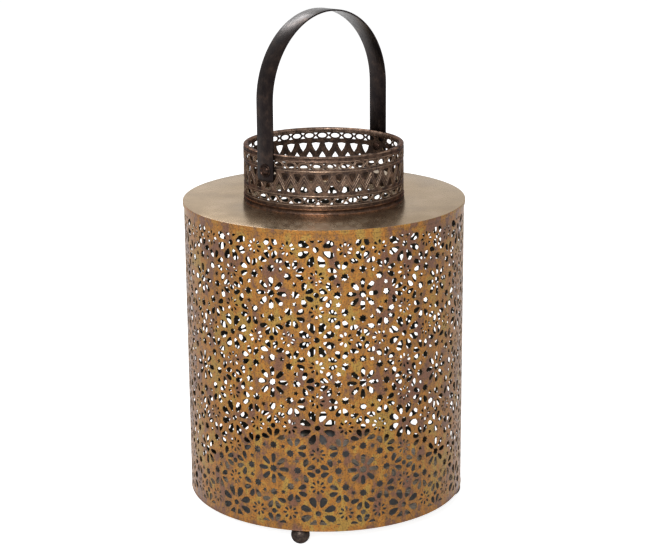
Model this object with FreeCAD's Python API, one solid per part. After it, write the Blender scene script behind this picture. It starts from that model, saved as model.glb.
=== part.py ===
import FreeCAD, Part
import math
import os
from FreeCAD import Base, Vector

# A punched tin lantern: a pierced round body on ball feet, a shoulder plate with
# an openwork collar, and a strap handle that swings on two rivets.
# Millimetres, +Z up. The origin is on the table, on the lantern's axis. The
# handle's pivot runs along X. Angles are in degrees, from -Y towards +X.

# Sheet metal
sheet = 0.7
slip = 0.1
seam_gap = 0.4
overrun = 1.0

# Body shell
body_radius = 100.0
body_height = 214.5
top_band = 6.3
bottom_band = 5.0
seam_lap_width = 6.0
seam_lap_rise = 2.5

# Pierced pattern of the body: flowers on a square lattice, stars between them
flowers_round = 10
first_flower_height = 13.4
flower_turn = -49.6
seam_share = 0.25
petals = 8
petal_inner_share = 0.075
petal_outer_share = 0.205
petal_width_share = 0.088
star_points = 8
star_outer_share = 0.172
star_inner_share = 0.1

# Floor plate, set a little way up inside the shell's foot
floor_recess = 0.6

# Feet: balls soldered under the floor, each shaped in bands of small flats
ball_radius = 6.6
ball_bands = 5
ball_sides = 16
foot_flat_radius = 1.6
foot_seat_radius = 3.06
foot_inset = 6.6
foot_turn = -9.4
foot_spread = 48.4

# Shoulder plate, with a lip over the shell and a neck turned down inside
lip_depth = 2.2
neck_inset = 4.3
neck_depth = 3.4

# Collar: an openwork band between a rim bead and a base ring
collar_radius = 56.8
collar_height = 40.0
rim_width = 3.8
rim_height = 3.8
rim_proud = 0.2
base_ring_height = 4.0
base_ring_sheet = 0.5

# Pattern of the collar, from the collar's foot
collar_repeats = 37
collar_turn = -45.6
up_triangle_base = 14.7
up_triangle_tip = 21.4
down_triangle_tip = 22.1
down_triangle_base = 28.4
triangle_crown = 0.5
triangle_width_share = 0.56

# Handle strap and its rivets
strap_width = 14.0
strap_thickness = 1.2
strap_gap = 0.3
strap_tail = 7.7
strap_tail_clip = 2.0
hinge_drop = 11.8
leg_rise = 47.1
rivet_radius = 2.0
rivet_hole_play = 0.1
rivet_hole_sides = 12
strap_hole_play = 0.08
rivet_head_radius = 3.3
rivet_head_height = 1.7
rivet_crown_radius = 1.5
rivet_tail_radius = 3.0
rivet_tail_height = 1.2
rivet_clear_radius = 4.6

# Heights that follow from the sizes above
ball_middle = math.sqrt(ball_radius**2 - foot_flat_radius**2)
foot_height = ball_middle + math.sqrt(ball_radius**2 - foot_seat_radius**2)
floor_top = foot_height + sheet
rim_z = foot_height - floor_recess
shell_top = rim_z + body_height
shoulder_top = shell_top + sheet
neck_foot = shell_top - neck_depth
collar_top = shoulder_top + collar_height
hinge_z = collar_top - hinge_drop
arch_z = hinge_z + leg_rise

# Radii and distances that follow from the sizes above
shell_inner = body_radius - sheet
foot_circle = body_radius - foot_inset
neck_radius = collar_radius - neck_inset
collar_inner = collar_radius - sheet
rim_outer = collar_radius + rim_proud
rim_inner = rim_outer - rim_width
strap_inner = rim_outer + strap_gap
strap_outer = strap_inner + strap_thickness
rivet_tail_face = math.sqrt(collar_inner**2 - rivet_tail_radius**2) - slip / 2

# Spacing of the patterns and the angles of the seams at the back
flower_pitch = 2 * math.pi * body_radius / flowers_round
collar_pitch = 2 * math.pi * collar_radius / collar_repeats
body_seam_turn = flower_turn + 180 + 360 * seam_share / flowers_round
collar_seam_turn = collar_turn + 180

UP = Vector(0, 0, 1)
OUT = Vector(1, 0, 0)
ACROSS = Vector(0, 1, 0)
CENTRE = Vector(0, 0, 0)


def path(corners):
    """Straight edges through (radius, height) corners in the XZ plane."""
    points = [Vector(radius, 0, height) for radius, height in corners]
    return [Part.makeLine(a, b) for a, b in zip(points, points[1:])]


def turned(edges):
    """A solid of revolution about Z from the edges of its half section."""
    return Part.Face(Part.Wire(edges)).revolve(CENTRE, UP, 360)


def ring(corners):
    """A turned piece whose half section is a closed polygon of (radius, height) corners."""
    return turned(path(corners + corners[:1]))


def tube(inner, outer, low, high):
    """A plain ring between two radii and two heights."""
    return ring([(inner, low), (outer, low), (outer, high), (inner, high)])


def at_angle(shape, angle):
    """A copy turned from the +X side to the given angle, measured from -Y towards +X."""
    placed = shape.copy()
    placed.rotate(CENTRE, UP, angle - 90)
    return placed


def drawn(outline, surface):
    """Edges on a round surface through the (angle, height) corners of a closed outline."""
    corners = [Base.Vector2d(angle, height) for angle, height in outline]
    sides = zip(corners, corners[1:] + corners[:1])
    return [Part.Geom2d.Line2dSegment(start, end).toShape(surface) for start, end in sides]


def rolled_sheet(radius, low, high, holes, seam_turn):
    """A punched strip rolled to an outer radius, its ends a seam gap apart.

    Each hole is a list of (arc length from the seam, height) corners, drawn on both
    faces of the sheet, so its walls are radial as in metal that was punched and rolled.
    """
    sweep = 2 * math.pi - seam_gap / radius
    outlines = [[(along / radius, height) for along, height in hole] for hole in holes]
    faces = []
    edges = []
    for face_radius in (radius - sheet, radius):
        surface = Part.Cylinder()
        surface.Radius = face_radius
        face = surface.toShape(0, sweep, low, high)
        border = face.OuterWire.Edges
        loops = [drawn(outline, surface) for outline in outlines]
        face.cutHoles([Part.Wire(loop) for loop in loops])
        face.validate()
        faces.append(face)
        edges.append(border + [edge for loop in loops for edge in loop])
    walls = [Part.makeRuledSurface(inner, outer) for inner, outer in zip(*edges)]
    skin = Part.makeShell(faces + walls)
    skin.sewShape()
    return at_angle(Part.makeSolid(skin), seam_turn)


def around(centre, angle, distance_share, offset_share=0):
    """A point of the body's pattern at a distance and sideways offset along a ray."""
    along_x = math.sin(math.radians(angle))
    along_z = math.cos(math.radians(angle))
    sideways = distance_share * along_x + offset_share * along_z
    upwards = distance_share * along_z - offset_share * along_x
    return centre[0] + flower_pitch * sideways, centre[1] + flower_pitch * upwards


def flower_holes(centre):
    """The petals of one flower, each pointed towards its heart."""
    half_share = petal_width_share / 2
    holes = []
    for k in range(petals):
        angle = (k + 0.5) * 360 / petals
        tip = around(centre, angle, petal_inner_share)
        left = around(centre, angle, petal_outer_share, -half_share)
        right = around(centre, angle, petal_outer_share, half_share)
        holes.append([tip, right, left])
    return holes


def star_hole(centre):
    """One star, its points towards the flowers and halfway between them."""
    corners = []
    for k in range(2 * star_points):
        reach_share = star_inner_share if k % 2 else star_outer_share
        corners.append(around(centre, k * 180 / star_points, reach_share))
    return corners


def body_holes():
    """Every hole of the body, kept inside the plain bands."""
    low = rim_z + bottom_band
    high = shell_top - top_band
    first = rim_z + first_flower_height
    rows = int((high - first) / flower_pitch) + 2
    holes = []
    for column in range(flowers_round):
        star_along = (column + 0.5 - seam_share) * flower_pitch
        flower_along = star_along + flower_pitch / 2
        for row in range(rows):
            height = first + row * flower_pitch
            holes += flower_holes((flower_along, height))
            holes.append(star_hole((star_along, height + flower_pitch / 2)))
    return [hole for hole in holes if all(low < height < high for along, height in hole)]


def make_body_shell():
    """The rolled sheet, pierced all round, with a lap strip soldered behind its seam."""
    wall = rolled_sheet(body_radius, rim_z, shell_top, body_holes(), body_seam_turn)
    lap_low = floor_top + seam_lap_rise
    lap_height = shell_top - lap_low
    lap_angle = math.degrees(seam_lap_width / body_radius)
    foot = Vector(0, 0, lap_low)
    lap = Part.makeCylinder(shell_inner, lap_height, foot, UP, lap_angle)
    lap = lap.cut(Part.makeCylinder(shell_inner - sheet, lap_height, foot))
    return wall.fuse(at_angle(lap, body_seam_turn - lap_angle / 2))


def foot_places():
    """The feet's axes as points on the table."""
    places = []
    for turn in (-foot_spread, foot_spread, 180 - foot_spread, 180 + foot_spread):
        angle = math.radians(foot_turn + turn)
        places.append(Vector(foot_circle * math.sin(angle), -foot_circle * math.cos(angle), 0))
    return places


def make_floor_plate():
    """The floor, a round plate inside the shell's foot."""
    return Part.makeCylinder(shell_inner - slip, sheet, UP * foot_height)


def flat_sided(radius, height):
    """The corners of a ball's level outline, closed, at a radius and a height."""
    corners = []
    for k in range(ball_sides + 1):
        angle = 2 * math.pi * (k % ball_sides) / ball_sides
        corners.append(Vector(radius * math.cos(angle), radius * math.sin(angle), height))
    return corners


def make_ball_feet():
    """Four balls, each with a flat to stand on and a wider one at its seat."""
    low = math.asin(ball_middle / ball_radius)
    high = math.asin((foot_height - ball_middle) / ball_radius)
    outlines = []
    for k in range(ball_bands + 1):
        rise = (low + high) * k / ball_bands - low
        height = ball_middle + ball_radius * math.sin(rise)
        outlines.append(flat_sided(ball_radius * math.cos(rise), height))
    flats = [outlines[0], outlines[-1]]
    for under, over in zip(outlines, outlines[1:]):
        for a, b, c, d in zip(under, under[1:], over[1:], over):
            flats.append([a, b, c, d, a])
    skin = Part.makeShell([Part.Face(Part.makePolygon(flat)) for flat in flats])
    skin.sewShape()
    foot = Part.makeSolid(skin)
    return Part.makeCompound([foot.translated(place) for place in foot_places()])


def make_shoulder_plate():
    """The flat top, its lip folded down over the shell and its neck turned down inside."""
    lip_inner = body_radius + slip
    return ring(
        [
            (neck_radius, shoulder_top),
            (neck_radius, neck_foot),
            (neck_radius + sheet, neck_foot),
            (neck_radius + sheet, shell_top),
            (lip_inner, shell_top),
            (lip_inner, shell_top - lip_depth),
            (lip_inner + sheet, shell_top - lip_depth),
            (lip_inner + sheet, shoulder_top),
        ]
    )


def make_collar_base_ring():
    """The low ring round the collar's foot."""
    inner = collar_radius + slip / 2
    return tube(inner, inner + base_ring_sheet, shoulder_top, shoulder_top + base_ring_height)


def triangle_hole(along, base, tip):
    """A triangle between two heights, its base crowned outwards."""
    half_width = collar_pitch * triangle_width_share / 2
    crown = math.copysign(triangle_crown, base - tip)
    left = (along - half_width, shoulder_top + base)
    right = (along + half_width, shoulder_top + base)
    return [left, (along, shoulder_top + base + crown), right, (along, shoulder_top + tip)]


def rivet_along(side):
    """How far from the collar's seam a rivet lies along the band."""
    return collar_radius * math.radians((side - collar_seam_turn) % 360)


def rivet_hole(side):
    """A drilled hole, drawn with flat sides that just clear the rivet's shank."""
    reach = (rivet_radius + rivet_hole_play) / math.cos(math.pi / rivet_hole_sides)
    corners = []
    for k in range(rivet_hole_sides):
        angle = 2 * math.pi * k / rivet_hole_sides
        along = rivet_along(side) + reach * math.cos(angle)
        corners.append((along, hinge_z + reach * math.sin(angle)))
    return corners


def clears_rivets(hole):
    """True where a hole of the collar leaves whole metal round both rivets."""
    for side in (-90, 90):
        for along, height in hole:
            if math.hypot(along - rivet_along(side), height - hinge_z) < rivet_clear_radius:
                return False
    return True


def collar_holes():
    """Two rows of triangles, point to point, with plain metal at the seam and rivets."""
    holes = []
    for k in range(collar_repeats):
        along = (k + 0.5) * collar_pitch
        holes.append(triangle_hole(along, down_triangle_base, down_triangle_tip))
    for k in range(1, collar_repeats):
        holes.append(triangle_hole(k * collar_pitch, up_triangle_base, up_triangle_tip))
    return [hole for hole in holes if clears_rivets(hole)] + [rivet_hole(-90), rivet_hole(90)]


def make_collar_band():
    """The openwork band, up to the underside of the rim bead."""
    band_top = collar_top - rim_height
    return rolled_sheet(collar_radius, shoulder_top, band_top, collar_holes(), collar_seam_turn)


def make_collar_rim():
    """The rim bead on the band's top edge."""
    return tube(rim_inner, rim_outer, collar_top - rim_height, collar_top)


def strap_side(offset):
    """The strap's edge-on line at a distance from the axis: leg, round arch and leg."""
    foot = hinge_z - strap_tail
    arch = Part.Arc(Vector(-offset, 0, arch_z), Vector(0, 0, arch_z + offset), Vector(offset, 0, arch_z))
    left_leg = path([(-offset, foot), (-offset, arch_z)])
    right_leg = path([(offset, arch_z), (offset, foot)])
    return left_leg + [arch.toShape()] + right_leg


def make_handle_strap():
    """The bent strap, its tails clipped at the corners and drilled for the rivets."""
    foot = hinge_z - strap_tail
    right_end = path([(strap_outer, foot), (strap_inner, foot)])
    left_end = path([(-strap_inner, foot), (-strap_outer, foot)])
    inner_side = strap_side(strap_inner)[::-1]
    outline = Part.Wire(strap_side(strap_outer) + right_end + inner_side + left_end)
    strap = Part.Face(outline).extrude(ACROSS * strap_width)
    strap.translate(ACROSS * (-strap_width / 2))
    reach = strap_outer + overrun
    hole = rivet_radius + strap_hole_play
    cuts = [Part.makeCylinder(hole, 2 * reach, Vector(-reach, 0, hinge_z), OUT)]
    for side in (-1, 1):
        edge = side * strap_width / 2
        inward = edge - side * strap_tail_clip
        clip = [(edge, foot), (inward, foot), (edge, foot + strap_tail_clip), (edge, foot)]
        corner = Part.makePolygon([Vector(-reach, across, height) for across, height in clip])
        cuts.append(Part.Face(corner).extrude(OUT * (2 * reach)))
    return strap.cut(cuts)


def on_both_sides(piece):
    """A piece turned about Z, laid along the handle's pivot at each end of it."""
    right = piece.copy()
    right.rotate(CENTRE, ACROSS, 90)
    right.translate(UP * hinge_z)
    return Part.makeCompound([right.mirror(CENTRE, OUT), right])


def make_rivets():
    """Two domed rivets: the strap turns on their shanks, their tails are peened inside."""
    under_head = strap_outer + slip
    tail_end = rivet_tail_face - rivet_tail_height
    corners = [
        (0, tail_end),
        (rivet_tail_radius, tail_end),
        (rivet_tail_radius, rivet_tail_face),
        (rivet_radius, rivet_tail_face),
        (rivet_radius, under_head),
        (rivet_head_radius, under_head),
        (rivet_crown_radius, under_head + rivet_head_height),
        (0, under_head + rivet_head_height),
    ]
    return on_both_sides(ring(corners))


def export(name, shape):
    """Write one sub-part as one STEP file and print its volume."""
    shape.exportStep(os.path.join("parts", name + ".step"))
    print(name, "solids", len(shape.Solids), "valid", shape.isValid(), "mm3", round(shape.Volume, 1))


def main():
    os.makedirs("parts", exist_ok=True)
    export("body_shell", make_body_shell())
    export("floor_plate", make_floor_plate())
    export("ball_feet", make_ball_feet())
    export("shoulder_plate", make_shoulder_plate())
    export("collar_base_ring", make_collar_base_ring())
    export("collar_band", make_collar_band())
    export("collar_rim", make_collar_rim())
    export("handle_strap", make_handle_strap())
    export("rivets", make_rivets())


main()
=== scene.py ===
"""Finish of a punched tin lantern: pierced body, openwork collar, strap handle and ball feet."""

import math

import bmesh
import bpy
from bpy.props import FloatProperty, FloatVectorProperty, IntProperty, PointerProperty
from mathutils import Matrix, Vector


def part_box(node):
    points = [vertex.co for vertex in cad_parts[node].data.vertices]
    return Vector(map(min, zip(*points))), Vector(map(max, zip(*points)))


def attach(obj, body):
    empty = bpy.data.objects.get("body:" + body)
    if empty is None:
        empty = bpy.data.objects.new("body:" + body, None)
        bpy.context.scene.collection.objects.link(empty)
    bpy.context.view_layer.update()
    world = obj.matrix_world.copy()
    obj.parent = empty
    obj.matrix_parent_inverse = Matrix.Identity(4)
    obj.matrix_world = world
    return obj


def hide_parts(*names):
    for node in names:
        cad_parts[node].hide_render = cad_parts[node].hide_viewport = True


bl_info = {
    "name": "Punched Tin Lantern",
    "version": (1, 1, 0),
    "blender": (4, 5, 0),
    "location": "3D View > Sidebar > Lantern",
    "description": "Builds the pierced sheets, rims, handle, rivets, feet and metal finishes",
    "category": "Object",
}

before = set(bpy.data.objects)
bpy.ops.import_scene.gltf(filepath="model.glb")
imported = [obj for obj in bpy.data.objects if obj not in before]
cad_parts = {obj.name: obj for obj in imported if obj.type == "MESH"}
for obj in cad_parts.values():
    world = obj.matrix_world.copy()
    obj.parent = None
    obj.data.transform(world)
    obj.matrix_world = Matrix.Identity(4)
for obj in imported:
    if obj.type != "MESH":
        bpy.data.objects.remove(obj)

MM = 0.001
TURN = 2 * math.pi

# Distances in millimetres within which points are taken as one, from the strictest up
EXACT, TOUCH, NEAR, WELD = 1e-5, 1e-4, 1e-3, 2e-3
# How deep under the lip's outer radius a face may lie and still be its outside, in millimetres
SKIN = 0.2
# Steps round a full turn of the body's rims, the collar's rings and the small turned pieces,
# and along the half turn of the handle's arch
BODY_STEPS, COLLAR_STEPS, SMALL_STEPS, ARCH_STEPS = 160, 128, 32, 64
# Where nearly all of a noise's values lie, for a Map Range node
NOISE_SPAN = {"From_Min": 0.3, "From_Max": 0.7}
# How a colour is shaded by a grey
SHADED = {"blend_type": "MULTIPLY", "Fac": 1.0}


def span(node, axis):
    """A node's lowest and highest place along an axis, in millimetres."""
    low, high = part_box(node)
    return low[axis] / MM, high[axis] / MM


# Places read from the fixed frame, in millimetres
RIM_Z, SHELL_TOP = span("body_shell", 2)
BODY_RADIUS = span("body_shell", 0)[1]
SHOULDER_UNDER, SHOULDER_TOP = span("shoulder_plate", 2)
LIP_OUTER = span("shoulder_plate", 0)[1]
COLLAR_RADIUS = span("collar_band", 0)[1]
BAND_TOP = span("collar_band", 2)[1]
RIM_OUTER = span("collar_rim", 0)[1]
COLLAR_TOP = span("collar_rim", 2)[1]
BASE_RING_OUTER = span("collar_base_ring", 0)[1]
BASE_RING_TOP = span("collar_base_ring", 2)[1]
STRAP_OUTER = span("handle_strap", 0)[1]
STRAP_FOOT, STRAP_TOP = span("handle_strap", 2)
STRAP_WIDTH = 2 * span("handle_strap", 1)[1]
RIVET_REACH = span("rivets", 0)[1]
HINGE_Z = sum(span("rivets", 2)) / 2
FLOOR_UNDER, FLOOR_TOP = span("floor_plate", 2)


def linear(text):
    """Linear RGBA of an sRGB hex value."""
    parts = [int(text[k : k + 2], 16) / 255 for k in (0, 2, 4)]
    return [p / 12.92 if p <= 0.04045 else ((p + 0.055) / 1.055) ** 2.4 for p in parts] + [1.0]


def length(name, text, millimetres):
    """A length setting, in metres for the panel."""
    return FloatProperty(
        name=name, description=text, default=millimetres * MM, min=0, precision=5, unit="LENGTH"
    )


def angle(name, text, degrees):
    """An angle setting."""
    turn = math.radians(degrees)
    return FloatProperty(name=name, description=text, default=turn, subtype="ANGLE")


def colour(name, text, hexed):
    """A colour setting from an sRGB hex value."""
    return FloatVectorProperty(
        name=name, description=text, default=linear(hexed), size=4, min=0, max=1, subtype="COLOR"
    )


class LanternBody(bpy.types.PropertyGroup):
    """Sizes of the pierced body and the shoulder."""

    sheet: length("Sheet", "Thickness of the shoulder's sheet metal", 0.7)
    wall: length("Wall", "Thickness of the pierced wall, thinned where the punch drew it", 0.5)
    flowers_round: IntProperty(
        name="Flowers round", description="Flowers in one row", default=10, min=4
    )
    flower_turn: angle("Flower turn", "Angle of the first flower round the body", -49.6)
    first_flower: length("First flower", "Height of the lowest flowers above the body's foot", 13.4)
    top_band: length("Top band", "Plain metal above the pattern", 6.3)
    bottom_band: length("Bottom band", "Plain metal below the pattern", 5.0)
    lap_width: length("Lap width", "Width of the strip soldered behind the seam", 2.6)
    lap_rise: length("Lap rise", "Height of the strip's foot above the floor plate", 2.5)
    seam_gap: length("Seam gap", "Slit between the sheet's two ends", 0.4)
    hem: length("Hem", "Width of the turned hem at the body's foot", 0.9)
    lip_drop: length("Lip drop", "How far the shoulder's lip is folded down", 2.2)


class LanternCollar(bpy.types.PropertyGroup):
    """Sizes of the collar."""

    sheet: length("Sheet", "Thickness of the band, thinned where the punch drew it", 0.45)
    repeats: IntProperty(name="Repeats", description="Repeats of the pattern", default=37, min=8)
    turn: angle("Turn", "Angle of the first hanging triangle round the collar", -45.6)
    rim_width: length("Rim width", "Width of the rim bead, seen from above", 3.8)
    neck_inset: length("Neck inset", "How far the neck lies inside the collar", 4.3)
    rivet_clear: length("Rivet clearance", "Plain metal round the rivets", 5.2)
    relief: length("Relief", "How far the embossed lines stand proud", 0.22)


class LanternFittings(bpy.types.PropertyGroup):
    """Sizes of the handle, rivets and feet."""

    strap_thickness: length("Strap", "Thickness of the strap", 1.2)
    strap_spare: length("Strap spare", "How far each edge stands out of the CAD strap", 0.6)
    tail_round: length("Tail round", "Rounding of the strap's tail corners", 2.8)
    rivet_dome: length("Rivet dome", "Radius of a rivet's dome", 3.3)
    rivet_washer: length("Rivet washer", "Radius of the washer under a rivet's dome", 4.8)
    ball_radius: length("Ball radius", "Radius of a ball foot", 6.6)
    ball_flat: length("Ball flat", "Radius of the flat a foot stands on", 1.6)
    foot_circle: length("Foot circle", "Distance of the feet from the axis", 93.4)
    foot_turn: angle("Foot turn", "Turn of the feet round the axis", -9.4)
    foot_spread: angle("Foot spread", "Half the angle between the two feet of a pair", 48.4)


class LanternColours(bpy.types.PropertyGroup):
    """Colours of the finishes."""

    gold: colour("Gold", "Burnished gold wash", "966A35")
    straw: colour("Straw", "Olive-yellow patches in the gold wash", "A68340")
    russet: colour("Russet", "Mauve-brown patches in the gold wash", "7A5542")
    umber: colour("Umber", "Dark glaze left in the gold wash", "4C3A2B")
    edge: colour("Cut edge", "Bare metal of the punched edges", "7C654B")
    inside: colour("Inside", "Oxide on the inside of the sheets", "2A2C2A")
    taupe: colour("Taupe", "Satin lacquer of the shoulder", "A08C74")
    bronze: colour("Bronze", "Darkened copper of the collar", "3D322D")
    copper: colour("Copper", "Copper rubbed bright on the base ring", "7E5A42")
    iron: colour("Iron", "Oil-blackened handle", "2A2321")
    ball: colour("Ball", "Mottled metal of the feet", "4A4039")
    plate: colour("Plate", "Dulled floor plate", "A8947B")


def add(tree, kind, links=None, stops=(), **settings):
    """Adds a node with its settings and links.

    A link is a node, for its first output, or a (node, output) pair. A setting that isn't
    a property of the node is the value of its input of that name. Stops are a colour
    ramp's (position, colour) pairs.
    """
    node = tree.nodes.new("ShaderNode" + kind)
    for name, value in settings.items():
        if hasattr(node, name):
            setattr(node, name, value)
        else:
            node.inputs[name.replace("_", " ")].default_value = value
    for name, link in (links or {}).items():
        source, output = link if isinstance(link, tuple) else (link, 0)
        tree.links.new(source.outputs[output], node.inputs[name])
    for k, (position, tone) in enumerate(stops):
        elements = node.color_ramp.elements
        element = elements[k] if k < len(elements) else elements.new(position)
        element.position, element.color = position, tone
    return node


def start_metal(name, centre_z):
    """A new material, its node tree and object coordinates about a height in mm."""
    made = bpy.data.materials.new(name)
    made.use_nodes = True
    made.node_tree.nodes.clear()
    place = add(made.node_tree, "TexCoord")
    low = (0, 0, -centre_z * MM)
    centred = add(made.node_tree, "Mapping", {"Vector": (place, "Object")}, Location=low)
    return made, made.node_tree, centred


def finish_metal(tree, base, gloss, grain, depth_mm, **settings):
    """Adds a metal's shader and output: its base colour, its gloss and the relief of a grain.

    Gloss is a noise with the roughness at its lowest and highest values, or empty for a
    metal whose roughness is among the shader's settings.
    """
    bump = add(tree, "Bump", {"Height": grain}, Distance=depth_mm * MM)
    links = {"Base Color": base, "Normal": bump}
    if gloss:
        noise, low, high = gloss
        rough = add(tree, "MapRange", {"Value": noise}, To_Min=low, To_Max=high, **NOISE_SPAN)
        links["Roughness"] = rough
    shader = add(tree, "BsdfPrincipled", links, **settings)
    add(tree, "OutputMaterial", {"Surface": shader})


def gold_wash():
    """Tinplate under a brushed gold wash with an umber glaze wiped into it.

    The wash is cloudy: gold and orange with olive-yellow and mauve-brown patches about
    8 mm across, and it drifts from brown to yellow over some 40 mm. The wiping leaves fine
    upright streaks, and the glaze stays in specks, which are finer on the real sheet and
    drawn 1.1 mm across so that they show. At a flat angle the aged lacquer over it goes a
    dull mauve instead of bright.
    """
    made = bpy.data.materials.get("antique_gold_wash")
    if made:
        return made
    c = bpy.context.scene.lantern_colours
    made, tree, centred = start_metal("antique_gold_wash", SHELL_TOP / 2)
    drawn = add(tree, "Mapping", {"Vector": centred}, Scale=(1, 1, 0.65))
    clouds = add(tree, "TexNoise", {"Vector": drawn}, Scale=1 / (8 * MM), Detail=5, Roughness=0.6)
    broad = add(tree, "TexNoise", {"Vector": centred}, Scale=1 / (42 * MM), Detail=1)
    drift = add(tree, "MapRange", {"Value": broad}, To_Min=-0.08, To_Max=0.08, **NOISE_SPAN)
    tone = add(tree, "Math", {0: clouds, 1: drift}, operation="ADD")
    stops = [(0.4, c.russet), (0.47, c.gold), (0.54, linear("AA7030")), (0.64, c.straw)]
    base = add(tree, "ValToRGB", {"Fac": tone}, stops)
    wiped = add(tree, "Mapping", {"Vector": centred}, Scale=(1, 1, 0.09))
    streaks = add(tree, "TexNoise", {"Vector": wiped}, Scale=1 / (1.6 * MM), Detail=3)
    shade = add(tree, "MapRange", {"Value": streaks}, To_Min=0.88, To_Max=1.14, **NOISE_SPAN)
    streaked = add(tree, "MixRGB", {"Color1": base, "Color2": shade}, **SHADED)
    specks = add(
        tree, "TexNoise", {"Vector": centred}, Scale=1 / (1.1 * MM), Detail=4, Roughness=0.6
    )
    glaze = add(tree, "MapRange", {"Value": specks}, From_Min=0.5, From_Max=0.64, To_Max=0.8)
    aged = add(tree, "MixRGB", {"Fac": glaze, "Color1": streaked}, Color2=c.umber)
    shine = {"Metallic": 0.2, "Specular_Tint": linear("8C7A6C"), "Specular_IOR_Level": 0.15}
    lacquer = {"Coat_Weight": 0.25, "Coat_Roughness": 0.3}
    finish_metal(tree, aged, (clouds, 0.34, 0.52), specks, 0.05, **shine, **lacquer)
    return made


def cut_edge():
    """Punched edge of the tinplate, bare and gone brown: a thin dull line, slightly torn.

    The tearing is finer on the real edge and drawn 1.4 mm long so that it shows.
    """
    made = bpy.data.materials.get("punched_tin_edge")
    if made:
        return made
    c = bpy.context.scene.lantern_colours
    made, tree, centred = start_metal("punched_tin_edge", SHELL_TOP / 2)
    grain = add(tree, "TexNoise", {"Vector": centred}, Scale=1 / (1.4 * MM), Detail=3)
    base = add(tree, "ValToRGB", {"Fac": grain}, [(0.3, c.umber), (0.55, c.edge)])
    finish_metal(tree, base, (), grain, 0.03, Metallic=0.3, Roughness=0.45)
    return made


def oxidised_inside():
    """Inside of the tinplate, left without the wash: slate-dark oxide, dull and clouded."""
    made = bpy.data.materials.get("oxidised_tin_inside")
    if made:
        return made
    c = bpy.context.scene.lantern_colours
    made, tree, centred = start_metal("oxidised_tin_inside", SHELL_TOP / 2)
    clouds = add(tree, "TexNoise", {"Vector": centred}, Scale=1 / (11 * MM), Detail=5)
    base = add(tree, "ValToRGB", {"Fac": clouds}, [(0.35, c.inside), (0.7, linear("544C40"))])
    shine = {"Metallic": 0.2, "Specular_IOR_Level": 0.1}
    finish_metal(tree, base, (clouds, 0.55, 0.75), clouds, 0.05, **shine)
    return made


def shoulder_lacquer():
    """Tinplate under a thin taupe lacquer: satin and even, mirroring the collar softly.

    Dust in the lacquer is drawn 1.6 mm across so that it shows.
    """
    c = bpy.context.scene.lantern_colours
    made, tree, centred = start_metal("taupe_lacquered_tin", SHOULDER_TOP)
    clouds = add(tree, "TexNoise", {"Vector": centred}, Scale=1 / (24 * MM), Detail=2)
    stops = [(0.34, linear("927E69")), (0.52, c.taupe), (0.7, linear("AA9681"))]
    base = add(tree, "ValToRGB", {"Fac": clouds}, stops)
    specks = add(tree, "TexNoise", {"Vector": centred}, Scale=1 / (1.6 * MM), Detail=3)
    shade = add(tree, "MapRange", {"Value": specks}, To_Min=0.92, To_Max=1.05, **NOISE_SPAN)
    final = add(tree, "MixRGB", {"Color1": base, "Color2": shade}, **SHADED)
    shine = {"Metallic": 0.9, "Specular_Tint": linear("EEE6DA"), "Specular_IOR_Level": 0.3}
    finish_metal(tree, final, (clouds, 0.22, 0.29), clouds, 0.03, **shine)
    return made


def darkened_copper(name, tones, marks, patch_mm, roughness):
    """Copper plate darkened in a bath and rubbed back: bright copper shows in patches.

    The patches are patch_mm across and turn from the dark to the bright tone between two
    marks of the noise. Fine pits keep it from shining evenly. They are finer on the real
    metal and drawn 0.8 mm across so that they show. The rivets' browned steel and the feet's
    mottled metal come out of the bath in the same way.
    """
    made, tree, centred = start_metal(name, HINGE_Z)
    patches = add(
        tree, "TexNoise", {"Vector": centred}, Scale=1 / (patch_mm * MM), Detail=6, Roughness=0.65
    )
    base = add(tree, "ValToRGB", {"Fac": patches}, zip(marks, tones))
    pits = add(tree, "TexNoise", {"Vector": centred}, Scale=1 / (0.8 * MM), Detail=3)
    pitted = {"From_Min": 0.3, "From_Max": 0.72, "To_Min": 0.62, "To_Max": 1.3}
    shade = add(tree, "MapRange", {"Value": pits}, **pitted)
    final = add(tree, "MixRGB", {"Color1": base, "Color2": shade}, **SHADED)
    gloss = (patches, roughness + 0.08, roughness - 0.08)
    shine = {"Metallic": 0.8, "Specular_Tint": linear("8A7A74"), "Specular_IOR_Level": 0.3}
    finish_metal(tree, final, gloss, pits, 0.06, **shine)
    return made


def oiled_iron():
    """Strip iron, oil-blackened: brown-black, with worn spots and a soft sheen.

    Rolling left streaks along the strap's legs. They are finer on the real strip and drawn
    1.2 mm wide so that they show.
    """
    c = bpy.context.scene.lantern_colours
    made, tree, centred = start_metal("oil_blackened_iron", HINGE_Z)
    wear = add(tree, "TexNoise", {"Vector": centred}, Scale=1 / (8 * MM), Detail=6, Roughness=0.65)
    stops = [(0.36, linear("1D1819")), (0.55, c.iron), (0.74, linear("44362F"))]
    base = add(tree, "ValToRGB", {"Fac": wear}, stops)
    rolled = add(tree, "Mapping", {"Vector": centred}, Scale=(0.3, 1, 0.1))
    streaks = add(tree, "TexNoise", {"Vector": rolled}, Scale=1 / (1.2 * MM), Detail=4)
    finish_metal(tree, base, (streaks, 0.24, 0.4), streaks, 0.08, Metallic=1.0)
    return made


def dulled_plate():
    """Tinplate floor gone dull: warm grey, with broad dark patches of painted shadow where the
    pierced wall would shade it, and a soft shine.

    Its grit is drawn 1.5 mm across so that it shows.
    """
    c = bpy.context.scene.lantern_colours
    made, tree, centred = start_metal("dulled_tin_floor", FLOOR_TOP)
    painted_shadow_noise = add(tree, "TexNoise", {"Vector": centred}, Scale=1 / (26 * MM), Detail=4)
    # The dark stop is painted shadow: broad patches where the pierced wall's shade falls on the
    # floor plate
    base = add(tree, "ValToRGB", {"Fac": painted_shadow_noise}, [(0.52, linear("241D19")), (0.57, c.plate)])
    grit = add(tree, "TexNoise", {"Vector": centred}, Scale=1 / (1.5 * MM), Detail=3)
    finish_metal(tree, base, (painted_shadow_noise, 0.4, 0.22), grit, 0.05, Metallic=0.2)
    return made


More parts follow.
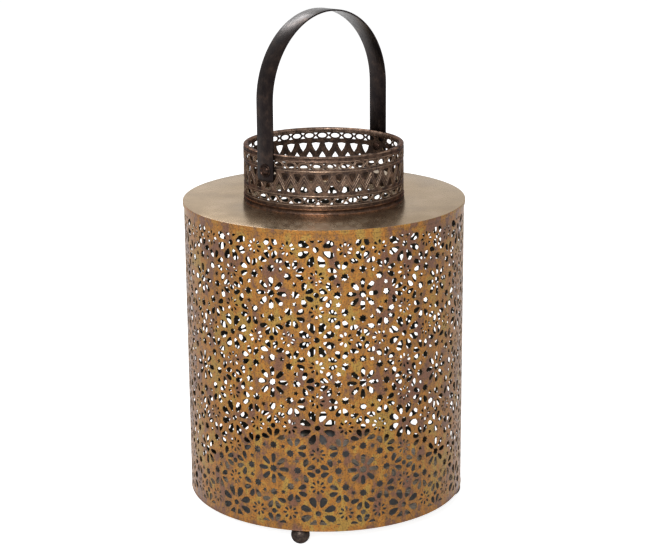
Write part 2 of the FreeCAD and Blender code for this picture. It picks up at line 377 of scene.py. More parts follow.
def into_mesh(name, bm):
    """A new mesh from a bmesh, which is freed."""
    mesh = bpy.data.meshes.new(name)
    bm.to_mesh(mesh)
    bm.free()
    return mesh


def round_edges(bm, edges, offset, segments):
    """Bevels some edges round."""
    bmesh.ops.bevel(
        bm,
        geom=edges,
        offset=offset,
        segments=segments,
        profile=0.5,
        affect="EDGES",
        material=-1,
    )


def sharp_edges(bm, degrees):
    """The edges where two faces meet at more than an angle."""
    limit = math.radians(degrees)
    return [e for e in bm.edges if e.is_manifold and e.calc_face_angle() > limit]


def finish_mesh(name, bm, materials, body, nodes, smooth_angle=35, merge=True):
    """Turns a bmesh in millimetres into a finished piece that rides on its body."""
    if merge:
        bmesh.ops.remove_doubles(bm, verts=bm.verts, dist=TOUCH)
    bmesh.ops.scale(bm, vec=(MM, MM, MM), verts=bm.verts)
    mesh = into_mesh(name, bm)
    if not mesh.polygons:
        raise RuntimeError(f"{name} has no faces")
    for material in materials:
        mesh.materials.append(material)
    piece = bpy.data.objects.new(name, mesh)
    bpy.context.scene.collection.objects.link(piece)
    mesh.shade_smooth()
    mesh.set_sharp_from_angle(angle=math.radians(smooth_angle))
    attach(piece, body)
    if nodes:
        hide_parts(*nodes)
    return piece


def punch(bm, x, y, turn, long, wide, sides, pinch=1.0, taper=0.0, flat=0.0):
    """One hole as a flat face centred at (x, y), its length pointing along a turn.

    The turn is in degrees from +Y towards +X. A pinch draws every other corner in, for a
    star. A taper widens the far end and narrows the near end, for a petal. A flat pushes
    the sides out towards a barrel.
    """
    made = bmesh.ops.create_circle(bm, cap_ends=True, radius=0.5, segments=sides)
    cosine, sine = math.cos(math.radians(turn)), math.sin(math.radians(turn))
    for k, v in enumerate(made["verts"]):
        near = pinch if k % 2 else 1.0
        along = v.co.y * near
        across = v.co.x * near * (1 + taper * 2 * v.co.y)
        across *= 1 + flat * abs(v.co.y) * 2
        along, across = along * long, across * wide
        v.co = (x + across * cosine + along * sine, y - across * sine + along * cosine, 0)


def punched_cell(punches, width, low, high, window, chain, sheet):
    """A flat cell of punched sheet as a closed solid without its two side walls.

    The holes are drawn as faces, cut off at the cell's sides and at the pattern's window.
    The plain edges above and below are drawn in as many steps as the chain says, and the
    metal between is filled and given its thickness downwards in Z. Materials: 0 the outer
    face, 1 the cut edges, 2 the inner face.
    """
    bm = bmesh.new()
    for hole in punches:
        punch(bm, *hole)
    half = width / 2
    cuts = (((half, 0, 0), (1, 0, 0)), ((-half, 0, 0), (-1, 0, 0)))
    cuts += (((0, window[1], 0), (0, 1, 0)), ((0, window[0], 0), (0, -1, 0)))
    for point, normal in cuts:
        everything = bm.verts[:] + bm.edges[:] + bm.faces[:]
        bmesh.ops.bisect_plane(
            bm, geom=everything, dist=EXACT, plane_co=point, plane_no=normal, clear_outer=True
        )
    bmesh.ops.delete(bm, geom=bm.faces[:], context="FACES_ONLY")
    for side in (-half, half):
        rim = [e for e in bm.edges if all(abs(v.co.x - side) < TOUCH for v in e.verts)]
        for e in rim:
            bm.edges.remove(e)
        ends = sorted((v for v in bm.verts if abs(v.co.x - side) < TOUCH), key=lambda v: v.co.y)
        ends = [bm.verts.new((side, low, 0))] + ends + [bm.verts.new((side, high, 0))]
        for a, b in zip(ends[::2], ends[1::2]):
            bm.edges.new((a, b))
    for level in (low, high):
        corners = sorted((v for v in bm.verts if abs(v.co.y - level) < TOUCH), key=lambda v: v.co.x)
        between = [bm.verts.new((-half + width * k / chain, level, 0)) for k in range(1, chain)]
        row = [corners[0]] + between + [corners[-1]]
        for a, b in zip(row, row[1:]):
            bm.edges.new((a, b))
    bmesh.ops.triangle_fill(bm, use_beauty=True, use_dissolve=False, edges=bm.edges[:])
    made = bmesh.ops.extrude_face_region(bm, geom=bm.faces[:])
    lowered = [g for g in made["geom"] if isinstance(g, bmesh.types.BMVert)]
    bmesh.ops.translate(bm, vec=(0, 0, -sheet), verts=lowered)
    bmesh.ops.recalc_face_normals(bm, faces=bm.faces)
    for f in bm.faces:
        f.material_index = 1 if abs(f.normal.z) < 0.5 else 2 * (f.normal.z < 0)
    ends = [f for f in bm.faces if all(abs(abs(v.co.x) - half) < TOUCH for v in f.verts)]
    bmesh.ops.delete(bm, geom=ends, context="FACES_ONLY")
    loose = [e for e in bm.edges if not e.link_faces]
    bmesh.ops.delete(bm, geom=loose, context="EDGES")
    return into_mesh("cell", bm)


def roll(verts, radius, start, squeeze=1.0):
    """Rolls flat vertices round Z: X runs round, Y goes up and Z stands out from a radius."""
    for v in verts:
        turned = start + squeeze * v.co.x / radius
        reach = radius + v.co.z
        v.co = (reach * math.sin(turned), -reach * math.cos(turned), v.co.y)


def rolled_sheet(cells, width, radius, start, gap):
    """Cells laid side by side and rolled round Z into one sheet, with a slit at the seam."""
    whole = bmesh.new()
    squeeze = 1 - gap / (len(cells) * width)
    for k, cell in enumerate(cells):
        count = len(whole.verts)
        whole.from_mesh(cell)
        whole.verts.ensure_lookup_table()
        laid = whole.verts[count:]
        bmesh.ops.translate(whole, vec=((k + 0.5) * width, 0, 0), verts=laid)
        roll(laid, radius, start, squeeze)
    for cell in set(cells):
        bpy.data.meshes.remove(cell)
    bmesh.ops.remove_doubles(whole, verts=whole.verts, dist=WELD)
    slit = [e for e in whole.edges if e.is_boundary]
    if slit:
        bmesh.ops.holes_fill(whole, edges=slit, sides=0)
    return whole


def round_normals(mesh):
    """Gives the sheet's two round faces true radial normals, so they shade as rolled metal."""
    normals = []
    for face in mesh.polygons:
        out = Vector((face.center.x, face.center.y, 0)).normalized()
        facing = face.normal.dot(out)
        for k in face.loop_indices:
            place = mesh.vertices[mesh.loops[k].vertex_index].co
            if abs(facing) > 0.7:
                ray = Vector((place.x, place.y, 0)).normalized()
                normals.append(ray * math.copysign(1, facing))
            else:
                normals.append(face.normal.copy())
    mesh.normals_split_custom_set(normals)


# The body's pattern in shares of its pitch: how far a hole stands from its centre, and the
# hole as (length, width, corners, pinch, taper, flat), as punch() takes them
EIGHTH = 45
HEART = (0.066, 0.066, 10)
PETAL_OUT, PETAL = 0.141, (0.134, 0.077, 8, 1.0, 0.42)
SIDE_OUT, SEED_OUT, SEED = 0.31, 0.062, (0.05, 0.03, 6, 1.0, 0.3)
STAR = (0.1, 0.1, 16, 0.66)
ARM_OUT, ARM = 0.121, (0.118, 0.053, 8, 1.0, 0.2, 0.3)
OUTER_STAR_OUT, OUTER_STAR = 0.275, (0.094, 0.094, 16, 0.7)
SMALL_STAR_OUT, SMALL_STAR = 0.288, (0.064, 0.064, 10, 0.52)
FAN_OUT, FAN_TURNS = 0.338, (-73, -25, 25, 73)
FAN_PETAL_OUT, FAN_PETAL = 0.096, (0.102, 0.058, 8, 1.0, 0.35)
DOT = (0.062, 0.062, 8)
# How far the first flower stands from its cell's middle, and the largest hole's reach
FLOWER_ASIDE, HOLE_REACH = 0.25, 0.1


def around(pitch, centre, turn, share):
    """A point of the body's pattern: along a ray from a centre, in shares of the pitch."""
    ray = math.radians(turn)
    return centre[0] + pitch * share * math.sin(ray), centre[1] + pitch * share * math.cos(ray)


def opening(pitch, place, turn, shape):
    """One hole of the body's pattern for punch(), from a shape in shares of the pitch."""
    length_share, width_share, *rest = shape
    return (*place, turn, pitch * length_share, pitch * width_share, *rest)


def flower(pitch, centre):
    """A round heart and eight petals, with a small rosette on each of its four sides."""
    holes = [opening(pitch, centre, 0, HEART)]
    for k in range(8):
        turn = EIGHTH * (k + 0.5)
        holes.append(opening(pitch, around(pitch, centre, turn, PETAL_OUT), turn, PETAL))
    for side in range(4):
        heart = around(pitch, centre, 2 * EIGHTH * side, SIDE_OUT)
        for k in range(8):
            place = around(pitch, heart, EIGHTH * k, SEED_OUT)
            holes.append(opening(pitch, place, EIGHTH * k, SEED))
    return holes


def rosette(pitch, centre):
    """A star in eight arms, ringed by stars that each open into a fan of four petals."""
    holes = [opening(pitch, centre, 0, STAR)]
    for k in range(8):
        turn = EIGHTH * k
        holes.append(opening(pitch, around(pitch, centre, turn, ARM_OUT), turn, ARM))
        holes.append(opening(pitch, around(pitch, centre, turn, OUTER_STAR_OUT), turn, OUTER_STAR))
        place = around(pitch, centre, turn + EIGHTH / 2, SMALL_STAR_OUT)
        holes.append(opening(pitch, place, turn, SMALL_STAR))
        fan = around(pitch, centre, turn, FAN_OUT)
        for spread in FAN_TURNS:
            place = around(pitch, fan, turn + spread, FAN_PETAL_OUT)
            holes.append(opening(pitch, place, turn + spread, FAN_PETAL))
    return holes


def body_punches(pitch, first, low, high):
    """Every hole that reaches into one cell, centred a quarter pitch beside a flower."""
    holes = []
    rows = range(-1, int((high - low) / pitch) + 2)
    for column in (-1, 0, 1):
        for row in rows:
            x = (column + FLOWER_ASIDE) * pitch
            y = first + row * pitch
            holes += flower(pitch, (x, y))
            holes += rosette(pitch, (x + pitch / 2, y + pitch / 2))
            holes.append(opening(pitch, (x + pitch / 2, y), 0, DOT))
            holes.append(opening(pitch, (x, y + pitch / 2), 0, DOT))
    reach = HOLE_REACH * pitch
    near = pitch / 2 + reach
    return [h for h in holes if abs(h[0]) < near and low - reach < h[1] < high + reach]


def outline(start, *steps):
    """Corners given as steps from a start, all as (radius, height) in millimetres."""
    return [(start[0] + across, start[1] + up) for across, up in steps]


def turned(corners, steps, soften, segments=2, closed=True, axis="Z", centre=(0, 0, 0)):
    """A turned shape in mm from a (radius, height) outline, its sharp edges softened.

    Round X, an outline is (radius, distance along X), at the centre's height.
    """
    bm = bmesh.new()
    if axis == "Z":
        verts = [bm.verts.new((r, 0, z)) for r, z in corners]
    else:
        verts = [bm.verts.new((x, r, centre[2])) for r, x in corners]
    pairs = list(zip(verts, verts[1:])) + [(verts[-1], verts[0])] * closed
    edges = [bm.edges.new(pair) for pair in pairs]
    way = (0, 0, 1) if axis == "Z" else (1, 0, 0)
    bmesh.ops.spin(
        bm, geom=verts + edges, cent=centre, axis=way, angle=TURN, steps=steps, use_merge=True
    )
    bmesh.ops.remove_doubles(bm, verts=bm.verts, dist=NEAR)
    bmesh.ops.recalc_face_normals(bm, faces=bm.faces)
    if soften:
        round_edges(bm, sharp_edges(bm, 30), soften, segments)
    return bm


def copied(bm, geom, matrix):
    """Copies part of a bmesh and moves the copy by a matrix."""
    twin = bmesh.ops.duplicate(bm, geom=geom)
    verts = [g for g in twin["geom"] if isinstance(g, bmesh.types.BMVert)]
    bmesh.ops.transform(bm, matrix=matrix, verts=verts)


class LANTERN_OT_pierced_body(bpy.types.Operator):
    """Builds the pierced body sheet, the lap strip behind its seam and the hem at its foot"""

    bl_idname = "lantern.pierced_body"
    bl_label = "Pierced body"

    def execute(self, context):
        sizes = context.scene.lantern_body
        sheet = sizes.wall / MM
        pitch = TURN * BODY_RADIUS / sizes.flowers_round
        low, high = RIM_Z + sizes.bottom_band / MM, SHELL_TOP - sizes.top_band / MM
        punches = body_punches(pitch, RIM_Z + sizes.first_flower / MM, low, high)
        cell = punched_cell(punches, pitch, RIM_Z, SHELL_TOP, (low, high), 9, sheet)
        seam = sizes.flower_turn + math.pi + FLOWER_ASIDE * pitch / BODY_RADIUS
        cells = [cell] * sizes.flowers_round
        bm = rolled_sheet(cells, pitch, BODY_RADIUS, seam, sizes.seam_gap / MM)
        metals = [gold_wash(), cut_edge(), oxidised_inside()]
        nodes = ["body_shell"]
        piece = finish_mesh(
            "pierced_body", bm, metals, "lantern", nodes, merge=False
        )
        round_normals(piece.data)

        inner = BODY_RADIUS - sheet
        clear = 0.2
        foot, top = FLOOR_TOP + sizes.lap_rise / MM, SHELL_TOP - clear
        strip = bmesh.new()
        bmesh.ops.create_grid(strip, x_segments=6, y_segments=1, size=0.5)
        size = (sizes.lap_width / MM, top - foot, 1)
        bmesh.ops.scale(strip, vec=size, verts=strip.verts)
        bmesh.ops.translate(strip, vec=(0, (foot + top) / 2, 0), verts=strip.verts)
        bmesh.ops.recalc_face_normals(strip, faces=strip.faces)
        bmesh.ops.solidify(strip, geom=strip.faces[:], thickness=sheet)
        depth = max(v.co.z for v in strip.verts)
        bmesh.ops.translate(strip, vec=(0, 0, -depth), verts=strip.verts)
        roll(strip.verts, inner, seam)
        bmesh.ops.recalc_face_normals(strip, faces=strip.faces)
        metals = [oxidised_inside()]
        finish_mesh("body_seam_lap", strip, metals, "lantern", [])

        hem = sizes.hem / MM
        corners = outline((BODY_RADIUS, RIM_Z), (-0.05, 0), (0.25, 0.1), (0.3, hem / 2))
        corners += outline((BODY_RADIUS, RIM_Z + hem), (0.2, 0), (-0.05, 0.15))
        bm = turned(corners, BODY_STEPS, 0)
        finish_mesh("foot_hem", bm, [gold_wash()], "lantern", [], 60)
        return {"FINISHED"}


class LANTERN_OT_shoulder_cap(bpy.types.Operator):
    """Builds the shoulder plate with its folded lip and turned-down neck"""

    bl_idname = "lantern.shoulder_cap"
    bl_label = "Shoulder plate"

    def execute(self, context):
        sizes = context.scene.lantern_body
        sheet = sizes.sheet / MM
        neck = COLLAR_RADIUS - context.scene.lantern_collar.neck_inset / MM
        under = SHOULDER_TOP - sheet
        lip = under - sizes.lip_drop / MM
        corners = [
            (neck, SHOULDER_TOP),
            (neck, SHOULDER_UNDER),
            (neck + sheet, SHOULDER_UNDER),
            (neck + sheet, under),
            (LIP_OUTER - sheet, under),
            (LIP_OUTER - sheet, lip),
            (LIP_OUTER, lip),
            (LIP_OUTER, SHOULDER_TOP),
        ]
        bm = turned(corners, BODY_STEPS, 0.3, 3)
        for f in bm.faces:
            middle = f.calc_center_median()
            if math.hypot(middle.x, middle.y) > LIP_OUTER - SKIN:
                f.material_index = 1
        metals = [shoulder_lacquer(), gold_wash()]
        finish_mesh("shoulder_cap", bm, metals, "lantern", ["shoulder_plate"])
        return {"FINISHED"}


# Heights of the collar's motifs above its foot, in millimetres. A zigzag's are its low and
# its high points. The wedges between a chain's links stand WEDGE_RISE above and below it
TRIANGLES_DOWN, TRIANGLES_UP = 25.9, 17.5
CHAINS, WEDGE_RISE = (9.5, 33.7), 1.6
RIDGES, RIDGE_HALF = (6.1, 12.8, 29.9), 0.6
ZIGZAGS = ((18.9, 27.2), (16.2, 24.5))
# The motifs' holes as (length, width, corners, pinch), as punch() takes them
TRIANGLE, LINK, WEDGE = (8.0, 6.9, 6, 0.62), (6.2, 3.4, 10), (2.4, 3.9, 3)
# How far the holes stay from the collar's foot and top, and how far out of a cell, in
# shares of the pitch, a hole's centre may lie and still reach into it
PLAIN_FOOT, PLAIN_TOP, CELL_REACH = 5.5, 0.3, 0.85
# Embossed lines: widths of the zigzags and the crosses, half a cross's width and height,
# a link outline's length and width, and how broad each of its slopes is
ZIGZAG_WIDE, CROSS_WIDE, CROSS_SPAN = 0.52, 0.5, (2.0, 2.3)
OUTLINE, OUTLINE_SLOPE = (7.5, 4.9), 0.32


class LANTERN_OT_collar_openwork(bpy.types.Operator):
    """Builds the openwork collar band"""

    bl_idname = "lantern.collar_openwork"
    bl_label = "Openwork collar"

    def execute(self, context):
        c = context.scene.lantern_colours
        sizes = context.scene.lantern_collar
        pitch = TURN * COLLAR_RADIUS / sizes.repeats
        start = sizes.turn + math.pi
        foot = SHOULDER_TOP
        motifs = [
            (0, TRIANGLES_DOWN, 180, *TRIANGLE),
            (pitch / 2, TRIANGLES_UP, 0, *TRIANGLE),
        ]
        for height, beside in zip(CHAINS, (0, pitch / 2)):
            motifs.append((beside, height, 90, *LINK))
            motifs.append((pitch / 2 - beside, height + WEDGE_RISE, 180, *WEDGE))
            motifs.append((pitch / 2 - beside, height - WEDGE_RISE, 0, *WEDGE))
        cells = []
        for k in range(sizes.repeats):
            kept = []
            for x, height, *shape in motifs:
                for along in (x - pitch, x, x + pitch):
                    side = math.cos(start + ((k + 0.5) * pitch + along) / COLLAR_RADIUS)
                    away = COLLAR_RADIUS * math.asin(max(-1, min(1, side)))
                    off = math.hypot(away, foot + height - HINGE_Z)
                    if off > sizes.rivet_clear / MM and abs(along) < CELL_REACH * pitch:
                        kept.append((along, foot + height, *shape))
            window = (foot + PLAIN_FOOT, BAND_TOP - PLAIN_TOP)
            cells.append(punched_cell(kept, pitch, foot, BAND_TOP, window, 3, sizes.sheet / MM))
        bm = rolled_sheet(cells, pitch, COLLAR_RADIUS, start, 0)
        tones = (c.bronze, linear("6E5748"))
        plate = darkened_copper(
            "darkened_copper_plate", tones, marks=(0.42, 0.66), patch_mm=5, roughness=0.36
        )
        metals, nodes = [plate, cut_edge(), plate], ["collar_band"]
        piece = finish_mesh(
            "collar_openwork", bm, metals, "lantern", nodes, merge=False
        )
        round_normals(piece.data)
        return {"FINISHED"}


class LANTERN_OT_collar_embossing(bpy.types.Operator):
    """Builds the zig-zag lines, link outlines and ridges embossed on the collar"""

    bl_idname = "lantern.collar_embossing"
    bl_label = "Embossed lines"

    def execute(self, context):
        sizes = context.scene.lantern_collar
        relief = sizes.relief / MM
        pitch = TURN * COLLAR_RADIUS / sizes.repeats
        foot = SHOULDER_TOP
        half = pitch / 2
        bars = []
        for low, high in ZIGZAGS:
            for side in (-half, half):
                bars.append(((side, foot + high), (0, foot + low), ZIGZAG_WIDE))
        across, up = CROSS_SPAN
        for height, beside in zip(CHAINS, (half, 0)):
            y = foot + height
            for rise in (up, -up):
                bars.append(((beside - across, y - rise), (beside + across, y + rise), CROSS_WIDE))
        bm = bmesh.new()
        for k in range(sizes.repeats):
            middle = (k + 0.5) * pitch
            for near, far, thick in bars:
                run = Vector(far) - Vector(near)
                spot = (Vector(far) + Vector(near)) / 2
                lie = Matrix.Translation((middle + spot.x, spot.y, 0))
                lie = lie @ Matrix.Rotation(math.atan2(run.y, run.x), 4, "Z")
                lie = lie @ Matrix.Diagonal((1, thick, 2 * relief, 1))
                bmesh.ops.create_cone(
                    bm,
                    cap_ends=True,
                    segments=6,
                    radius1=0.5,
                    radius2=0.5,
                    depth=run.length,
                    matrix=lie @ Matrix.Rotation(math.pi / 2, 4, "Y"),
                )
            for height, beside in zip(CHAINS, (0, half)):
                at = (middle + beside, foot + height, -0.05)
                link = Matrix.Translation(at) @ Matrix.Diagonal((*OUTLINE, 1, 1))
                made = bmesh.ops.create_circle(
                    bm, cap_ends=True, radius=0.5, segments=12, matrix=link
                )
                face = made["verts"][0].link_faces[0]
                face.normal_update()
                if face.normal.z < 0:
                    face.normal_flip()
                for rise in (relief, -relief):
                    bmesh.ops.inset_individual(
                        bm, faces=[face], thickness=OUTLINE_SLOPE, depth=rise, use_even_offset=True
                    )
                bmesh.ops.delete(bm, geom=[face], context="FACES_ONLY")
        roll(bm.verts, COLLAR_RADIUS, sizes.turn + math.pi)
        for height in RIDGES:
            y = foot + height
            inner = COLLAR_RADIUS - 0.1
            low, high = (inner, y - RIDGE_HALF), (inner, y + RIDGE_HALF)
            ridge = turned([low, (COLLAR_RADIUS + relief, y), high], COLLAR_STEPS, 0.05, 1)
            part = into_mesh("ridge", ridge)
            bm.from_mesh(part)
            bpy.data.meshes.remove(part)
        tones = (linear("5C4E45"), linear("8C7664"))
        metal = darkened_copper(
            "rubbed_copper_lines", tones, marks=(0.35, 0.65), patch_mm=4, roughness=0.34
        )
        finish_mesh("collar_embossing", bm, [metal], "lantern", [], 60)
        return {"FINISHED"}


# Where grime stays on the collar's rings: how far a face is set back from the outer edge,
# in millimetres, and how squarely it faces out
GROOVE_DEPTH, GROOVE_FACING = (0.14, 0.6), 0.75


class LANTERN_OT_collar_rings(bpy.types.Operator):
    """Builds the two-edged rim bead and the collar's base ring"""

    bl_idname = "lantern.collar_rings"
    bl_label = "Rim bead and base ring"

    def execute(self, context):
        c = context.scene.lantern_colours
        inner = RIM_OUTER - context.scene.lantern_collar.rim_width / MM
        foot, crown = (RIM_OUTER, BAND_TOP), (RIM_OUTER, COLLAR_TOP)
        rim = [(inner + 0.5, BAND_TOP)]
        rim += outline(foot, (-0.35, 0), (0, 0.35), (0, 0.8))
        rim += outline(foot, (-0.4, 1.3), (-0.45, 2.2), (-0.1, 2.7))
        rim += outline(crown, (-0.15, -0.55), (-0.6, -0.15), (-1.3, 0))
        rim += outline((inner, COLLAR_TOP), (0.8, 0), (0.2, -0.3), (0, -0.9))
        rim += [(inner, BAND_TOP + 0.7)]
        foot, crown = (BASE_RING_OUTER, SHOULDER_TOP), (BASE_RING_OUTER, BASE_RING_TOP)
        base = [(COLLAR_RADIUS + 0.05, SHOULDER_TOP)]
        base += outline(foot, (0, 0), (0, 0.5), (-0.3, 0.9))
        base += outline(crown, (-0.3, -1.1), (0, -0.8), (0, -0.2), (-0.2, 0))
        base += [(COLLAR_RADIUS + 0.05, BASE_RING_TOP)]
        rubbed = {"marks": (0.38, 0.62), "patch_mm": 6, "roughness": 0.26}
        tones = (linear("4A3C34"), linear("9C8270"))
        pale = darkened_copper("rubbed_copper_bead", tones, **rubbed)
        warm = darkened_copper("rubbed_copper_ring", (linear("40302A"), c.copper), **rubbed)
        tones = (linear("352A24"), linear("5E493D"))
        grime = darkened_copper(
            "grimed_copper_groove", tones, marks=(0.4, 0.7), patch_mm=4, roughness=0.4
        )
        nearest, deepest = GROOVE_DEPTH
        for name, corners, node, metal, outer in (
            ("rim_bead", rim, "collar_rim", pale, RIM_OUTER),
            ("base_ring", base, "collar_base_ring", warm, BASE_RING_OUTER),
        ):
            bm = turned(corners, COLLAR_STEPS, 0)
            for f in bm.faces:
                middle = f.calc_center_median()
                out = Vector((middle.x, middle.y, 0))
                set_back = nearest < outer - out.length < deepest
                if set_back and f.normal.dot(out.normalized()) > GROOVE_FACING:
                    f.material_index = 1
            finish_mesh(name, bm, [metal, grime], "lantern", [node], 50)
        return {"FINISHED"}


class LANTERN_OT_strap_handle(bpy.types.Operator):
    """Builds the bent strap handle"""

    bl_idname = "lantern.strap_handle"
    bl_label = "Strap handle"

    def execute(self, context):
        sizes = context.scene.lantern_fittings
        outer, inner = STRAP_OUTER, STRAP_OUTER - sizes.strap_thickness / MM
        arch = STRAP_TOP - outer
        half = STRAP_WIDTH / 2 + sizes.strap_spare / MM
        bm = bmesh.new()
        corners = [(inner, -half), (outer, -half), (outer, half), (inner, half)]
        face = bm.faces.new([bm.verts.new((x, y, STRAP_FOOT)) for x, y in corners])
        made = bmesh.ops.extrude_face_region(bm, geom=[face])
        top = [g for g in made["geom"] if isinstance(g, bmesh.types.BMVert)]
        bmesh.ops.translate(bm, vec=(0, 0, arch - STRAP_FOOT), verts=top)
        cap = [f for f in bm.faces if all(v in top for v in f.verts)]
        ring = cap + list(cap[0].edges) + list(cap[0].verts)
        made = bmesh.ops.spin(
            bm, geom=ring, cent=(0, 0, arch), axis=(0, -1, 0), angle=math.pi, steps=ARCH_STEPS
        )
        last = [g for g in made["geom_last"] if isinstance(g, bmesh.types.BMFace)]
        made = bmesh.ops.extrude_face_region(bm, geom=last)
        foot = [g for g in made["geom"] if isinstance(g, bmesh.types.BMVert)]
        bmesh.ops.translate(bm, vec=(0, 0, STRAP_FOOT - arch), verts=foot)
        inside = [f for f in bm.faces if all(abs(v.co.z - arch) < NEAR for v in f.verts)]
        bmesh.ops.delete(bm, geom=inside, context="FACES_ONLY")
        bmesh.ops.remove_doubles(bm, verts=bm.verts, dist=TOUCH)
        bmesh.ops.recalc_face_normals(bm, faces=bm.faces)
        tails = [
            e
            for e in bm.edges
            if all(abs(v.co.z - STRAP_FOOT) < NEAR for v in e.verts)
            and abs(e.verts[0].co.y - e.verts[1].co.y) < NEAR
        ]
        round_edges(bm, tails, sizes.tail_round / MM, 4)
        edge_round = 0.22
        round_edges(bm, sharp_edges(bm, 60), edge_round, 2)
        finish_mesh("strap_handle", bm, [oiled_iron()], "handle", ["handle_strap"])
        return {"FINISHED"}


# A rivet's dome, from its edge up, in shares of its radius and of how far the rivet stands out
DOME = ((1, 0.4), (0.88, 0.62), (0.66, 0.83), (0.36, 0.96))


class LANTERN_OT_rivets(bpy.types.Operator):
    """Builds the two domed rivets on their washers"""

    bl_idname = "lantern.rivets"
    bl_label = "Rivets"

    def execute(self, context):
        sizes = context.scene.lantern_fittings
        dome, washer = sizes.rivet_dome / MM, sizes.rivet_washer / MM
        base = STRAP_OUTER + 0.1
        rise = RIVET_REACH - base
        shank, tail = 2.0, 3.0
        reach = COLLAR_RADIUS - context.scene.lantern_collar.sheet / MM
        seat = math.sqrt(reach**2 - tail**2) - 0.05
        line = outline((0, seat), (0, -1.2), (tail * 0.73, -1.1), (tail, -0.5), (tail, 0))
        line += [(shank, seat), (shank, base)]
        line += outline((washer, base), (0, 0), (0, 0.3), (-0.25, 0.5), (-0.7, 0.5), (-0.95, 0.25))
        line += [(dome, base + 0.25)]
        line += [(dome * across, base + rise * up) for across, up in DOME]
        line += [(0, RIVET_REACH)]
        bm = turned(line, SMALL_STEPS, 0, closed=False, axis="X", centre=(0, 0, HINGE_Z))
        one = bm.verts[:] + bm.edges[:] + bm.faces[:]
        copied(bm, one, Matrix.Rotation(math.pi, 4, "Z"))
        tones = (linear("2A211E"), linear("4E3A30"))
        metal = darkened_copper(
            "browned_rivet_steel", tones, marks=(0.42, 0.68), patch_mm=3, roughness=0.3
        )
        finish_mesh("domed_rivets", bm, [metal], "lantern", ["rivets"])
        return {"FINISHED"}


class LANTERN_OT_ball_feet(bpy.types.Operator):
    """Builds the four ball feet"""

    bl_idname = "lantern.ball_feet"
    bl_label = "Ball feet"

    def execute(self, context):
        c = context.scene.lantern_colours
        sizes = context.scene.lantern_fittings
        radius = sizes.ball_radius / MM
        middle = math.sqrt(radius**2 - (sizes.ball_flat / MM) ** 2)
        low = math.asin(middle / radius)
        high = math.asin((FLOOR_UNDER - middle) / radius)
        bands = 14
        line = [(0, 0)]
        for k in range(bands + 1):
            rise = (low + high) * k / bands - low
            line.append((radius * math.cos(rise), middle + radius * math.sin(rise)))
        line.append((0, FLOOR_UNDER))
        bm = turned(line, SMALL_STEPS, 0, closed=False)
        one = bm.verts[:] + bm.edges[:] + bm.faces[:]
        circle = sizes.foot_circle / MM
        spots = []
        for turn in (-sizes.foot_spread, sizes.foot_spread):
            for back in (0, math.pi):
                way = sizes.foot_turn + turn + back
                spots.append(Vector((math.sin(way), -math.cos(way), 0)) * circle)
        for spot in spots[1:]:
            copied(bm, one, Matrix.Translation(spot))
        first = [g for g in one if isinstance(g, bmesh.types.BMVert)]
        bmesh.ops.translate(bm, vec=spots[0], verts=first)
        tones = (linear("332C2A"), c.ball)
        metal = darkened_copper(
            "aged_ball_metal", tones, marks=(0.4, 0.6), patch_mm=2.5, roughness=0.4
        )
        finish_mesh("ball_feet_turned", bm, [metal], "lantern", ["ball_feet"])
        return {"FINISHED"}


class LANTERN_OT_floor_plate(bpy.types.Operator):
    """Gives the floor plate its dulled, softly shining metal with patches of painted shadow"""

    bl_idname = "lantern.floor_plate"
    bl_label = "Floor plate"

    def execute(self, context):
        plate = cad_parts["floor_plate"]
        plate.data.materials.clear()
        plate.data.materials.append(dulled_plate())
        return {"FINISHED"}


# The camera as fitted to the photograph: the side it stands on, its place seen from there in
# millimetres, its tilt up from straight down, its roll in radians, its lens and its sensor
PHOTO_SIDE, CAMERA_PLACE = math.radians(-46.5), (0.3, -1222.2, 506.75)
CAMERA_TILT, CAMERA_ROLL = math.radians(90 - 15.48), -0.0081
LENS, SENSOR = 97.0, 36
# Each softbox: its place seen from the camera's side and its breadth in metres, and its
# watts. All of them face the axis at one height, in metres
SOFTBOXES = (
    ("key_softbox", (-0.35, -1.65, 1.1), 0.9, 27),
    ("fill_softbox", (1.0, -1.5, 0.7), 1.4, 3),
    ("back_softbox", (-0.5, 1.3, 1.55), 0.7, 13),
)
AIM_HEIGHT = 0.17


def looking(tree):
    """One for rays from the camera, a mirror or glass, and nought for rays that only light."""
    path = add(tree, "LightPath")
    straight = {0: (path, "Is Camera Ray"), 1: (path, "Is Glossy Ray")}
    direct = add(tree, "Math", straight, operation="MAXIMUM")
    through = {0: direct, 1: (path, "Is Transmission Ray")}
    return add(tree, "Math", through, operation="MAXIMUM")


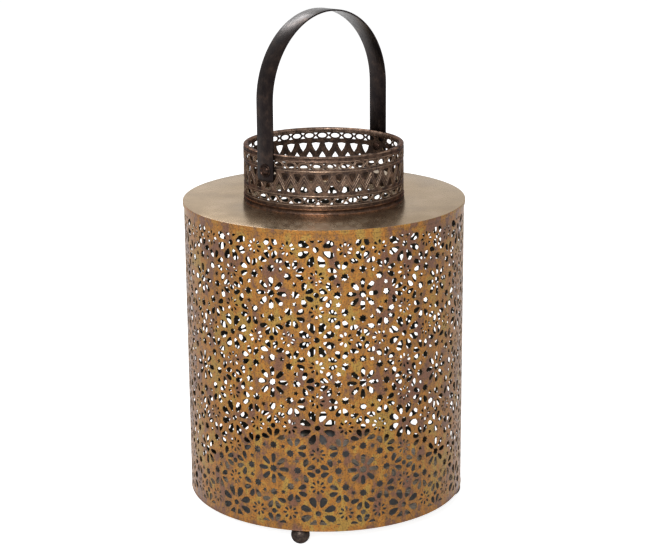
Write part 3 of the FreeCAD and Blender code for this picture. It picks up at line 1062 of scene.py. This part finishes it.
class LANTERN_OT_stage(bpy.types.Operator):
    """Sets the pale floor, the soft lights, the white surroundings and the camera"""

    bl_idname = "lantern.stage"
    bl_label = "Stage"

    def execute(self, context):
        scene = context.scene
        scene.view_settings.view_transform = "Standard"
        bm = bmesh.new()
        bmesh.ops.create_grid(bm, x_segments=1, y_segments=1, size=6)
        mesh = into_mesh("studio_floor", bm)
        floor = bpy.data.objects.new("studio_floor", mesh)
        scene.collection.objects.link(floor)
        made = bpy.data.materials.new("white_studio_floor")
        mesh.materials.append(made)
        world = bpy.data.worlds.new("white_surroundings")
        scene.world = world
        for owner in (made, world):
            owner.use_nodes = True
            owner.node_tree.nodes.clear()

        # White paper: it glows where it is seen, and only sends light on to the lantern
        tree = made.node_tree
        paper = add(tree, "BsdfDiffuse", Color=(0.8, 0.8, 0.8, 1))
        glow = add(tree, "Emission", Strength=0.85)
        both = add(tree, "AddShader", {0: paper, 1: glow})
        pick = add(tree, "MixShader", {"Fac": looking(tree), 1: paper, 2: both})
        add(tree, "OutputMaterial", {"Surface": pick})

        # White all round where it is seen, and dim where it lights
        tree = world.node_tree
        dim = add(tree, "Background", Color=(1, 1, 1, 1), Strength=0.18)
        white = add(tree, "Background", Color=(1, 1, 1, 1), Strength=1.0)
        pick = add(tree, "MixShader", {"Fac": looking(tree), 1: dim, 2: white})
        add(tree, "OutputWorld", {"Surface": pick})

        facing = Matrix.Rotation(PHOTO_SIDE, 4, "Z")
        for name, place, size, power in SOFTBOXES:
            lamp = bpy.data.lights.new(name, "AREA")
            lamp.shape, lamp.size, lamp.energy = "SQUARE", size, power
            light = bpy.data.objects.new(name, lamp)
            scene.collection.objects.link(light)
            light.location = facing @ Vector(place)
            way = Vector((0, 0, AIM_HEIGHT)) - light.location
            light.rotation_euler = way.to_track_quat("-Z", "Y").to_euler()

        data = bpy.data.cameras.new("photo_camera")
        data.sensor_width = SENSOR
        data.lens = LENS
        camera = bpy.data.objects.new("photo_camera", data)
        scene.collection.objects.link(camera)
        scene.camera = camera
        pose = Matrix.Translation([part * MM for part in CAMERA_PLACE])
        pose = pose @ Matrix.Rotation(CAMERA_TILT, 4, "X") @ Matrix.Rotation(CAMERA_ROLL, 4, "Z")
        camera.matrix_world = facing @ pose
        return {"FINISHED"}


class LANTERN_PT_panel(bpy.types.Panel):
    """Lists the lantern's settings and pieces"""

    bl_idname = "LANTERN_PT_panel"
    bl_label = "Punched Tin Lantern"
    bl_space_type = "VIEW_3D"
    bl_region_type = "UI"
    bl_category = "Lantern"

    def draw(self, context):
        for attribute, group in GROUPS.items():
            box = self.layout.box()
            for name in group.__annotations__:
                box.prop(getattr(context.scene, attribute), name)
        for operator in OPERATORS:
            self.layout.operator(operator.bl_idname)


GROUPS = {
    "lantern_body": LanternBody,
    "lantern_collar": LanternCollar,
    "lantern_fittings": LanternFittings,
    "lantern_colours": LanternColours,
}
OPERATORS = [
    LANTERN_OT_pierced_body,
    LANTERN_OT_shoulder_cap,
    LANTERN_OT_collar_openwork,
    LANTERN_OT_collar_embossing,
    LANTERN_OT_collar_rings,
    LANTERN_OT_strap_handle,
    LANTERN_OT_rivets,
    LANTERN_OT_ball_feet,
    LANTERN_OT_floor_plate,
    LANTERN_OT_stage,
]


def register():
    """Registers the settings, the operators and the panel."""
    for attribute, group in GROUPS.items():
        bpy.utils.register_class(group)
        setattr(bpy.types.Scene, attribute, PointerProperty(type=group))
    for cls in OPERATORS + [LANTERN_PT_panel]:
        bpy.utils.register_class(cls)


def unregister():
    """Removes the panel, the operators and the settings."""
    for cls in [LANTERN_PT_panel] + OPERATORS[::-1]:
        bpy.utils.unregister_class(cls)
    for attribute, group in GROUPS.items():
        delattr(bpy.types.Scene, attribute)
        bpy.utils.unregister_class(group)


def main():
    """Builds every piece and the stage."""
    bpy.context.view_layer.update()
    register()
    bpy.ops.lantern.pierced_body()
    bpy.ops.lantern.shoulder_cap()
    bpy.ops.lantern.collar_openwork()
    bpy.ops.lantern.collar_embossing()
    bpy.ops.lantern.collar_rings()
    bpy.ops.lantern.strap_handle()
    bpy.ops.lantern.rivets()
    bpy.ops.lantern.ball_feet()
    bpy.ops.lantern.floor_plate()
    bpy.ops.lantern.stage()


if __name__ == "__main__":
    main()
